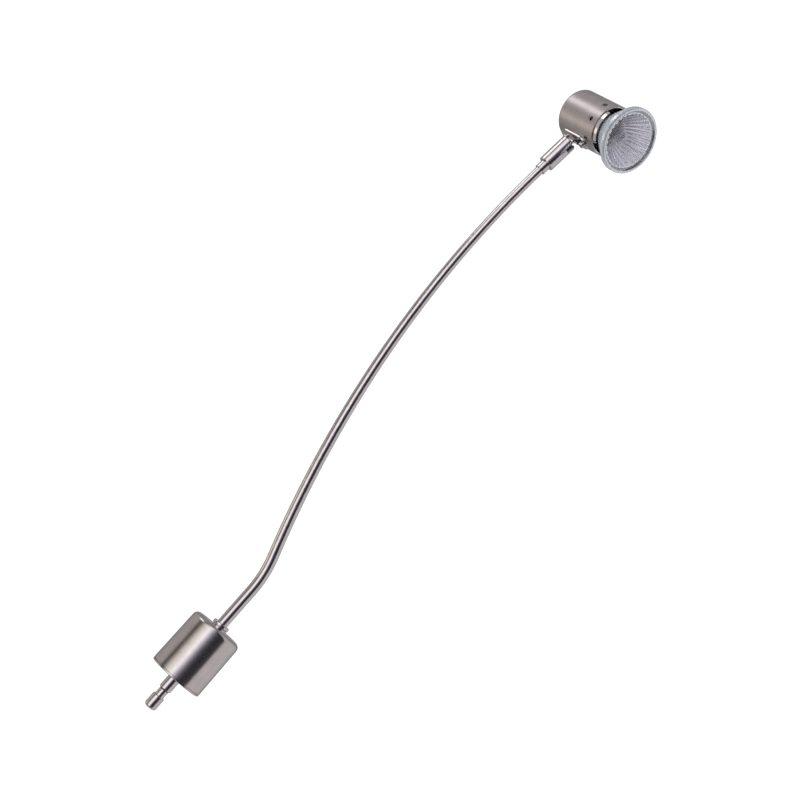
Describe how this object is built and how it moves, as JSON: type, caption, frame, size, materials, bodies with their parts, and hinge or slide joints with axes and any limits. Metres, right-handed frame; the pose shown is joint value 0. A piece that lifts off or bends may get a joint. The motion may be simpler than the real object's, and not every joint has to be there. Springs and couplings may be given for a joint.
{
  "type": "track spotlight",
  "caption": "Plug-in arm spotlight: grooved plug, round base cup, long curved tapering stem, swivelling sleeve and tilting cylindrical can with a reflector lamp.",
  "frame": {"origin": "on the plug's axis, where the plug's shank meets the underside of the base plate", "axes": "+Z from the plug into the base cup, along the plug's axis; the stem bends in the X-Z plane, first towards -X; the lamp shines towards +X and -Y at rest"},
  "size_m": [0.0888, 0.0732, 0.557],
  "materials": {
    "brushed_nickel": "brushed satin nickel",
    "satin_nickel": "soft brushed nickel on the can",
    "polished_nickel": "semi-bright nickel",
    "zinc_steel": "zinc plated",
    "brass": "bare",
    "black_plastic": "moulded",
    "white_plastic": "moulded",
    "rubber": "matte",
    "silicone_lead": "silicone sleeve",
    "white_ceramic": "unglazed steatite",
    "mirror_glass": "pressed glass with a dichroic mirror coat",
    "clear_glass": "clear",
    "tungsten": "bare wire"
  },
  "bodies": {
    "base": {"plug_shank": "polished_nickel", "plug_insulator": "black_plastic", "plug_tip": "polished_nickel", "plug_washer": "zinc_steel", "plug_locknut": "zinc_steel", "rod_washer": "black_plastic", "rod_nut": "brass", "base_plate": "brushed_nickel", "base_plate_screws": "zinc_steel", "base_cup": "brushed_nickel", "chassis_strap": "zinc_steel", "cup_collar": "polished_nickel", "bush_washer": "zinc_steel", "bush_locknut": "brass", "terminal_block": "white_plastic", "terminal_screws": "brass", "block_screw": "zinc_steel", "stem_tube": "polished_nickel", "stem_lead": "silicone_lead", "supply_leads": "silicone_lead", "stem_ferrule": "polished_nickel", "friction_ring": "rubber"},
    "swivel": {"swivel_sleeve": "polished_nickel", "pivot_pin": "zinc_steel", "tilt_washers": "black_plastic", "sleeve_screw": "zinc_steel", "sleeve_lead": "silicone_lead"},
    "head": {"head_bracket": "polished_nickel", "bracket_screws": "zinc_steel", "bracket_nuts": "zinc_steel", "lamp_can": "satin_nickel", "retaining_ring": "polished_nickel", "lamp_holder": "white_ceramic", "socket_contacts": "brass", "holder_clamp": "zinc_steel", "holder_screws": "zinc_steel", "head_lead": "silicone_lead", "lead_grommet": "rubber"},
    "lamp": {"lamp_reflector": "mirror_glass", "lamp_front_glass": "clear_glass", "lamp_base": "white_ceramic", "lamp_pins": "zinc_steel", "lamp_capsule": "clear_glass", "lamp_filament": "tungsten"}
  },
  "joints": [
    {"name": "sleeve_pan", "type": "hinge", "parent": "base", "child": "swivel", "pos_m": [-0.0489, 0, 0.45175], "axis": [0.0872, 0, 0.9962], "range_deg": [-170, 170]},
    {"name": "head_tilt", "type": "hinge", "parent": "swivel", "child": "head", "pos_m": [-0.04659, 0, 0.47824], "axis": [0.9184, 0.3875, -0.0803], "range_deg": [-80, 80]},
    {"name": "lamp_pull", "type": "slide", "parent": "head", "child": "lamp", "axis": [0.3845, -0.9217, -0.0512], "range_m": [0, 0.045]}
  ]
}
